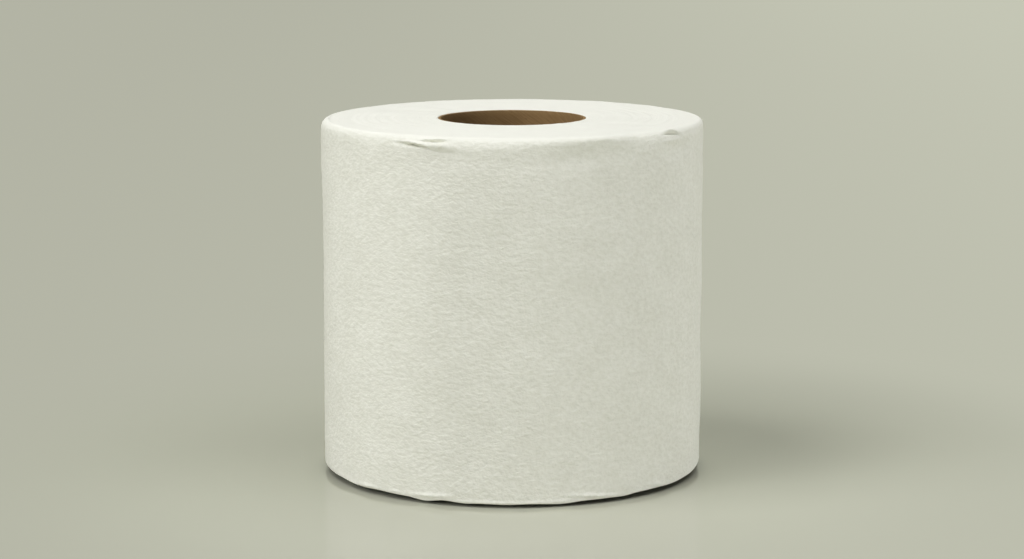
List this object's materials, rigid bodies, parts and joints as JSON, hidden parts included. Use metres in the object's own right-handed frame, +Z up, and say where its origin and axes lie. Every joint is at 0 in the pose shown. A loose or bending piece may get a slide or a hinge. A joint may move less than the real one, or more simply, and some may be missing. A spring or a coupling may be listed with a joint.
{
  "type": "toilet paper roll",
  "caption": "Soft white tissue web wound in a spiral on a brown card core, standing on its end; the open core slips over a holder's spindle.",
  "frame": {"origin": "on the core's axis, in the plane of the end that the roll stands on", "axes": "+Z up along the core; -Y is the side that faces the viewer"},
  "size_m": [0.1146, 0.115, 0.107],
  "materials": {
    "tissue": "soft matt creped tissue, off-white",
    "core_card": "matt brown kraft card, spiral wound"
  },
  "bodies": {
    "root": {"tissue_roll": "tissue", "cardboard_core": "core_card"}
  },
  "joints": []
}
